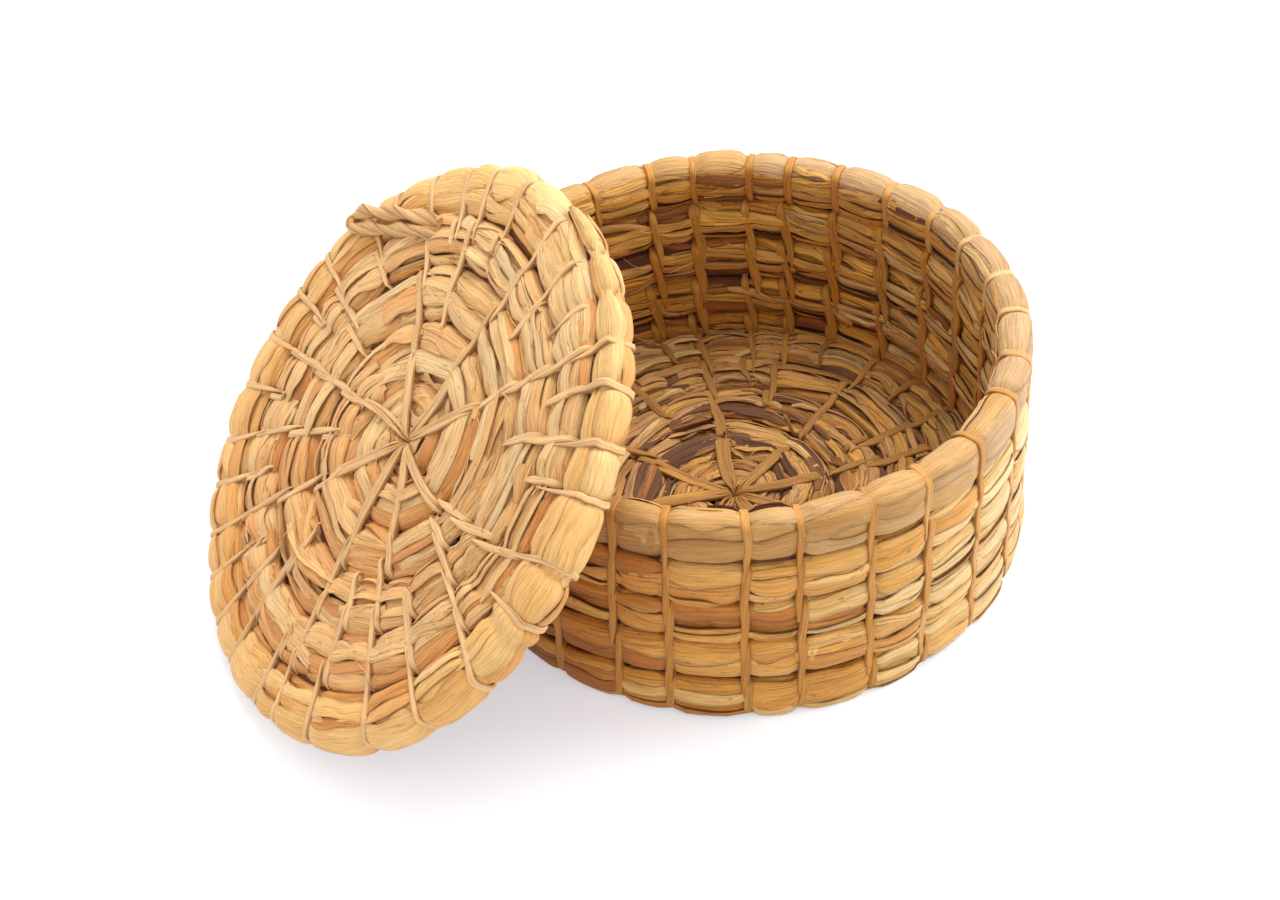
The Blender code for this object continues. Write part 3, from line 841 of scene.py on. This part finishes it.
def leaf_material(name, streaks, specks, roughness, edge_dark, shades):
    """Dried leaf: a shade for each strip, streaks along its fibres, specks, and darker edges."""
    made = bpy.data.materials.new(name)
    made.use_nodes = True
    tree = made.node_tree
    shader = tree.nodes["Principled BSDF"]
    looks = {"Roughness": roughness, "Specular IOR Level": leaf_specular, "Sheen Weight": leaf_sheen}
    for label, value in looks.items():
        shader.inputs[label].default_value = value
    fibre = node(tree, "Attribute", {}, attribute_name="fibre").outputs["Vector"]
    leaf = node(tree, "Attribute", {}, attribute_name="leaf").outputs["Vector"]
    parts = node(tree, "SeparateXYZ", {0: leaf})

    def noise(scale, detail):
        stretched = node(tree, "VectorMath", {0: fibre, 1: scale}, operation="MULTIPLY").outputs[0]
        return node(tree, "TexNoise", {"Vector": stretched, "Scale": 1, "Detail": detail}).outputs[0]

    def remap(value, old, low, high):
        ranges = {"From Min": old[0], "From Max": old[1], "To Min": low, "To Max": high}
        return node(tree, "MapRange", {"Value": value, **ranges}).outputs[0]

    def work(kind, first, second):
        return node(tree, "Math", {0: first, 1: second}, operation=kind).outputs[0]

    def mix(kind, factor, first, second):
        inputs = dict(zip(mix_inputs, (factor, first, second)))
        return node(tree, "Mix", inputs, data_type="RGBA", blend_type=kind).outputs[mix_result]

    fine = noise(*fine_noise)
    lines = noise(*line_noise)
    tone = work("ADD", parts.outputs["X"], remap(noise(*broad_noise), broad_range, -tone_drift, tone_drift))
    ramp = node(tree, "ValToRGB", {0: tone})
    ramp.color_ramp.elements.remove(ramp.color_ramp.elements[0])
    for index, (place, *screen) in enumerate(shades):
        stop = ramp.color_ramp.elements.new(place) if index else ramp.color_ramp.elements[0]
        stop.position = place
        stop.color = linear(screen)
    shade = remap(lines, grain_range, 1 - streaks, 1 + streaks / 2)
    shade = work("MULTIPLY", shade, remap(fine, grain_range, *fine_shares))
    colour = mix("MULTIPLY", 1, ramp.outputs[0], shade)
    colour = mix("MIX", remap(lines, crack_range, 0, specks), colour, linear(crack_colour))
    colour = mix("MIX", remap(noise(*blot_noise), stain_range, 0, specks), colour, linear(stain_colour))
    # Darker edges: partly the leaves' own browner edges, partly painted shade where strips meet
    edges = work("MULTIPLY", work("POWER", parts.outputs["Y"], edge_power), edge_dark)
    colour = mix("MIX", edges, colour, linear(edge_colour))
    tree.links.new(colour, shader.inputs["Base Color"])
    bump = node(tree, "Bump", {"Strength": 1, "Distance": bump_height, "Height": work("ADD", lines, fine)})
    tree.links.new(bump.outputs[0], shader.inputs["Normal"])
    return made


# Materials: streaks, specks, roughness and dark edges, then tones, each with its colour on a screen
outer_leaf = leaf_material("leaf_outer", 0.26, 0.55, 0.58, 0.75, (
    (0, 168, 96, 30), (0.2, 204, 126, 42), (0.42, 238, 170, 76), (0.62, 250, 206, 132),
    (0.85, 254, 224, 172), (1, 232, 200, 156)))
rim_leaf = leaf_material("leaf_rim", 0.2, 0.35, 0.56, 0.5, (
    (0, 172, 114, 46), (0.3, 200, 146, 76), (0.5, 214, 166, 100), (0.62, 209, 167, 117),
    (0.8, 212, 172, 123), (1, 222, 190, 148)))
inner_leaf = leaf_material("leaf_inner", 0.42, 0.7, 0.58, 1, (
    (0, 104, 56, 26), (0.1, 138, 76, 32), (0.2, 180, 112, 40), (0.36, 230, 164, 60), (0.54, 248, 192, 90),
    (0.74, 226, 166, 86), (0.88, 236, 188, 116), (1, 246, 212, 146)))
floor_leaf = leaf_material("leaf_floor", 0.46, 0.7, 0.66, 1, (
    (0, 110, 72, 46), (0.1, 146, 96, 56), (0.2, 180, 120, 60), (0.38, 236, 176, 88), (0.55, 222, 168, 98),
    (0.72, 202, 152, 100), (0.86, 244, 198, 124), (1, 250, 216, 150)))
lid_leaf = leaf_material("leaf_lid", 0.22, 0.5, 0.6, 0.4, (
    (0, 216, 144, 78), (0.15, 240, 168, 94), (0.35, 248, 191, 122), (0.6, 247, 204, 141),
    (0.85, 245, 209, 155), (1, 236, 198, 150)))
lid_rim_leaf = leaf_material("leaf_lid_rim", 0.16, 0.3, 0.6, 0.4, (
    (0, 208, 134, 64), (0.15, 234, 160, 80), (0.4, 250, 192, 114), (0.7, 254, 206, 134), (1, 254, 216, 156)))
strip_leaf = leaf_material("sewing_strip", 0.26, 0.3, 0.55, 0.5, (
    (0, 190, 136, 68), (0.08, 190, 136, 68), (0.16, 218, 162, 74), (0.3, 208, 144, 60),
    (0.42, 212, 142, 56), (0.56, 222, 160, 80), (0.72, 240, 190, 128), (1, 252, 204, 144)))
# The cores are the bundles' inner grass; their dark brown is painted shade for the gaps between leaves where
# they show
core_leaf = leaf_material("bundle_core", 0.5, 0.4, 0.8, 0, ((0, 96, 52, 22), (1, 142, 88, 40)))

# Leaves in heaps, and the cores under them
for name, coil, layers, first, last, material in (
        ("wall_outer_leaves", wall, outer_layers, coil_begin, wall_rim_from, outer_leaf),
        ("wall_rim_leaves", wall, wall_rim_layers, wall_rim_from, wall.last, rim_leaf),
        ("wall_rim_inner_leaves", wall, wall_rim_inner_layers, wall_rim_from, wall.last, inner_leaf),
        ("wall_inner_leaves", wall, inner_layers, coil_begin, wall_rim_from, inner_leaf),
        ("floor_leaves", base, floor_layers, coil_begin, base.last, floor_leaf),
        ("base_under_leaves", base, under_layers, coil_begin, base.last, inner_leaf),
        ("lid_top_leaves", lid, lid_layers, coil_begin, lid_rim_from + lid_rim_overlap, lid_leaf),
        ("lid_under_leaves", lid, under_layers, coil_begin, lid_rim_from, inner_leaf),
        ("lid_rim_leaves", lid, lid_rim_layers, lid_rim_from, lid.last, lid_rim_leaf)):
    heap = Heap()
    lay_layers(heap, coil, layers, first, last)
    heap.build(name, coil.body, material)

for coil in (wall, base, lid):
    heap = Heap()
    add_core(heap, coil)
    piece = heap.build(coil.name + "_core", coil.body, core_leaf)
    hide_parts(coil.name + "_coil")


def column_node(coil, degrees):
    """Number of the model's sewn column nearest to an angle."""
    return round((math.radians(degrees) - coil.phase) / (full_turn / columns)) % columns + 1


# Sewing strips of the wall and the floor, column by column
for degrees, start in zip(wall_columns, floor_starts):
    heap = Heap()
    angle = math.radians(degrees)

    def wall_line(height):
        return angle + 0 * np.asarray(height)

    # Painted light: strips on the wall's lit side get a higher, paler tone
    painted_light_share = max(0, math.cos(angle - painted_light_angle)) ** 2
    sew_line(heap, wall, wall_line, -1, 1, outer_strip, strip_painted_light * painted_light_share)
    sew_line(heap, wall, wall_line, -1, -1, inner_strip)
    crosses = start < middle_start
    for side in (1, -1):
        sew_line(heap, base, wall_line, sewn_from if crosses else start, side, floor_strip)
    if crosses:
        for side in (1, -1):
            long_ribbon(heap, base, wall_line, side, *floor_ribbon)
    number = column_node(wall, degrees)
    piece = heap.build(f"basket_strips_{number:02d}", "basket", strip_leaf)
    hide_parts(f"basket_stitches_{number:02d}")

# Sewing strips of the lid. The first line near one of the model's columns stands for its node
taken = set()
for spoke in lid_spokes:
    heap = Heap()

    def lid_line(radius):
        return spoke_angle(spoke, np.asarray(radius), lid.reach)

    degrees, start, begin = spoke
    sewn = degrees != ribbon_only_angle
    crosses = start < middle_start
    for side in (1, -1):
        if sewn:
            sew_line(heap, lid, lid_line, sewn_from if crosses else start, side, lid_strip)
        if crosses:
            long_ribbon(heap, lid, lid_line, side, *lid_ribbon)
    number = column_node(lid, degrees)
    if sewn and number not in taken:
        taken.add(number)
        piece = heap.build(f"lid_strips_{number:02d}", "lid", strip_leaf)
        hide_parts(f"lid_stitches_{number:02d}")
    else:
        heap.build(f"lid_strips_more_{round(degrees)}", "lid", strip_leaf)

# Pull loop: a two-ply cord bent double, its legs side by side, from the lid's face to past its edge
loop_anchor = (0.0565, 41)
loop_tip = (0.0713, 71)
loop_bend = 0.002
ply_radius = 0.0012
twist_radius = 0.0008
twist_length = 0.027
ply_points = 12
ply_wave_share = 0.1
ply_tones = (0.69, 0.73)
loop_stations = 140
leg_rise_share = 0.3
leg_ends = (1.7, 0.35)
leg_shares = (0.55, 0.95, 1.05, 0.75)
loop_height = 0.0017
loop_entry = 0.003
loop_entry_share = 0.2
loop_tilt = 0.0006
droop = 0.006
droop_from = 0.069
droop_run = 0.0065


def loop_path():
    """Points along the cord: out from the anchor on one leg, round the tip and back on the other."""
    anchor, tip = (radius * np.array((math.cos(math.radians(angle)), math.sin(math.radians(angle)), 0))
                   for radius, angle in (loop_anchor, loop_tip))
    length = np.linalg.norm(tip - anchor)
    along = (tip - anchor) / length
    side = np.cross(along, (0, 0, 1))
    places = [0, leg_rise_share * length] + [length - end * loop_bend for end in leg_ends]
    leg = list(zip(places, leg_shares))
    corners = leg + [(length, 0)] + [(out, -aside) for out, aside in reversed(leg)]
    flat = route_through([(out, aside * loop_bend, 0) for out, aside in corners], loop_stations)
    points = anchor + along * flat[:, :1] + side * flat[:, 1:2]
    radius = np.hypot(points[:, 0], points[:, 1])
    past = np.clip((radius - droop_from) / droop_run, 0, 1)
    face = lid.half + loop_height + lid.dome * (1 - np.minimum(1, (radius / lid.reach) ** 2))
    entry = loop_entry * (1 - smooth(flat[:, 0] / length / loop_entry_share))
    points[:, 2] = face - droop * past ** 2 - entry + loop_tilt * flat[:, 1] / loop_bend
    return points


def add_ply(heap, path, shift, tone):
    """One ply of the cord, a flattened strand wound round the cord's path."""
    along = unit(np.gradient(path, axis=0))
    up = unit(np.array((0, 0, 1.0)) - along * along[:, 2:])
    beside = np.cross(along, up)
    lengths = lengths_along(path)
    turn = (full_turn * lengths / twist_length + shift)[:, None]
    centre = path + (up * np.cos(turn) + beside * np.sin(turn)) * twist_radius
    around = np.arange(ply_points) / ply_points * full_turn
    radius = ply_radius * (1 + ply_wave_share * np.cos(3 * around + uniform(*phase_range)))
    turned = around + turn
    rings = centre[:, None] + radius[None, :, None] * (
        up[:, None] * np.cos(turned)[..., None] + beside[:, None] * np.sin(turned)[..., None])
    rings = (rings @ lid.turned.T + lid.moved)[None]
    heap.add(rings, (around * ply_radius, lengths[:, None], shift), (tone, 0, 0), False)


heap = Heap()
for shift, tone in zip((0, math.pi), ply_tones):
    add_ply(heap, loop_path(), shift, tone)
piece = heap.build("lid_loop_cord", "lid", strip_leaf)
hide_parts("lid_loop")

# Stray fibres
wisp_steps = 9
wisp_turns = (0.5, 0.3)
wisp_lengths = (0.004, 0.012)
wisp_bend = 0.06
wisp_sink = 0.0003
wisp_rises = (0.0008, 0.002)
wisp_above = 0.003
wisp_halves = (0.00012, 0.00028)
wisp_taper_share = 0.7
wisp_tones = (0.6, 1)
wisp_section = (0.00005, 0.0001)


def add_wisps(heap, coil, count, face):
    """Stray fibres that stand a little off the bundle."""
    for number in range(count):
        turns = uniform(wisp_turns[0], coil.last - wisp_turns[1])
        share = uniform(*face)
        steps = np.linspace(0, 1, wisp_steps)
        length = uniform(*wisp_lengths) / (full_turn * float(coil.radius(np.array(turns))))
        share = share + normal() * wisp_bend * steps ** 2
        where = turns + length * steps
        points = coil.surface(where, share, -wisp_sink + uniform(*wisp_rises) * steps)
        beyond = coil.surface(where, share, wisp_above + 0 * steps)
        outward = unit(beyond - points)
        along = unit(np.gradient(points, axis=0))
        half = uniform(*wisp_halves) * (1 - wisp_taper_share * steps)
        sideways = unit(np.cross(outward, along))
        ribbon(heap, points, sideways, outward, half, uniform(*wisp_tones), *wisp_section, 0)


for name, coil, count, face in (("wall_wisps", wall, 160, inner_face), ("floor_wisps", base, 120, outer_face),
                                ("lid_wisps", lid, 140, outer_face)):
    heap = Heap()
    add_wisps(heap, coil, count, face)
    heap.build(name, coil.body, strip_leaf)

# Camera, as the photograph was taken
camera_place = Vector((-0.1983, -0.4409, 0.4588))
camera_forward = Vector((0.2691, 0.6919, -0.6701))
camera_up = Vector((0.2974, 0.602, 0.741))
camera_lens = 70.3125
camera_sensor = 36
clip_range = (0.01, 100)

# Light: lamps by place, size and power, the world's light and the floor's paint and glow
lamps = (("top", (0.35, 0.4, 1.1), 1.0, 11.5), ("right", (1.0, -0.2, 0.6), 0.7, 7))
lamp_aim = Vector((0, 0, 0.03))
world_light = 0.94
world_colour = (1, 0.97, 0.92, 1)
floor_reach = 4.0
floor_paint = (0.75, 0.765, 0.79, 1)
floor_glow = 0.42
floor_glow_colour = (0.96, 1, 1.12, 1)


def add_camera():
    data = bpy.data.cameras.new("camera")
    data.sensor_width = camera_sensor
    data.lens = camera_lens
    data.clip_start, data.clip_end = clip_range
    camera = new_object("camera", data)
    back = -camera_forward.normalized()
    right = camera_up.cross(back).normalized()
    up = back.cross(right)
    camera.matrix_world = Matrix.Translation(camera_place) @ Matrix((right, up, back)).transposed().to_4x4()
    bpy.context.scene.camera = camera


def add_lamp(name, place, size, power):
    data = bpy.data.lights.new(name, "AREA")
    data.shape = "DISK"
    data.size = size
    data.energy = power
    lamp = new_object(name, data)
    lamp.location = place
    lamp.rotation_euler = (lamp_aim - Vector(place)).to_track_quat("-Z", "Y").to_euler()


def straight_rays(tree):
    """1 for camera, glossy and transmitted rays, which see white, and 0 for those that light the scene."""
    path = node(tree, "LightPath", {})
    seen = path.outputs["Is Camera Ray"]
    for label in ("Is Glossy Ray", "Is Transmission Ray"):
        seen = node(tree, "Math", {0: seen, 1: path.outputs[label]}, operation="MAXIMUM").outputs[0]
    return seen


def add_world():
    world = bpy.data.worlds.new("world")
    bpy.context.scene.world = world
    world.use_nodes = True
    tree = world.node_tree
    tree.nodes.clear()
    soft = node(tree, "Background", {"Color": world_colour, "Strength": world_light}).outputs[0]
    white = node(tree, "Background", {"Strength": 1}).outputs[0]
    choose = node(tree, "MixShader", {0: straight_rays(tree), 1: soft, 2: white})
    node(tree, "OutputWorld", {0: choose.outputs[0]})


def add_floor():
    mesh = bpy.data.meshes.new("floor")
    corners = ((-1, -1), (1, -1), (1, 1), (-1, 1))
    mesh.from_pydata([(x * floor_reach, y * floor_reach, 0) for x, y in corners], [], [(0, 1, 2, 3)])
    floor = new_object("floor", mesh)
    made = bpy.data.materials.new("floor")
    made.use_nodes = True
    tree = made.node_tree
    tree.nodes.clear()
    paint = node(tree, "BsdfDiffuse", {"Color": floor_paint}).outputs[0]
    glow = node(tree, "Emission", {"Color": floor_glow_colour, "Strength": 1}).outputs[0]
    none = node(tree, "Emission", {"Strength": 0}).outputs[0]
    share = node(tree, "Math", {0: straight_rays(tree), 1: floor_glow}, operation="MULTIPLY").outputs[0]
    amount = node(tree, "MixShader", {0: share, 1: none, 2: glow}).outputs[0]
    total = node(tree, "AddShader", {0: paint, 1: amount})
    node(tree, "OutputMaterial", {0: total.outputs[0]})
    floor.data.materials.append(made)


add_camera()
add_world()
add_floor()
for lamp in lamps:
    add_lamp(*lamp)
bpy.context.scene.view_settings.view_transform = "Standard"
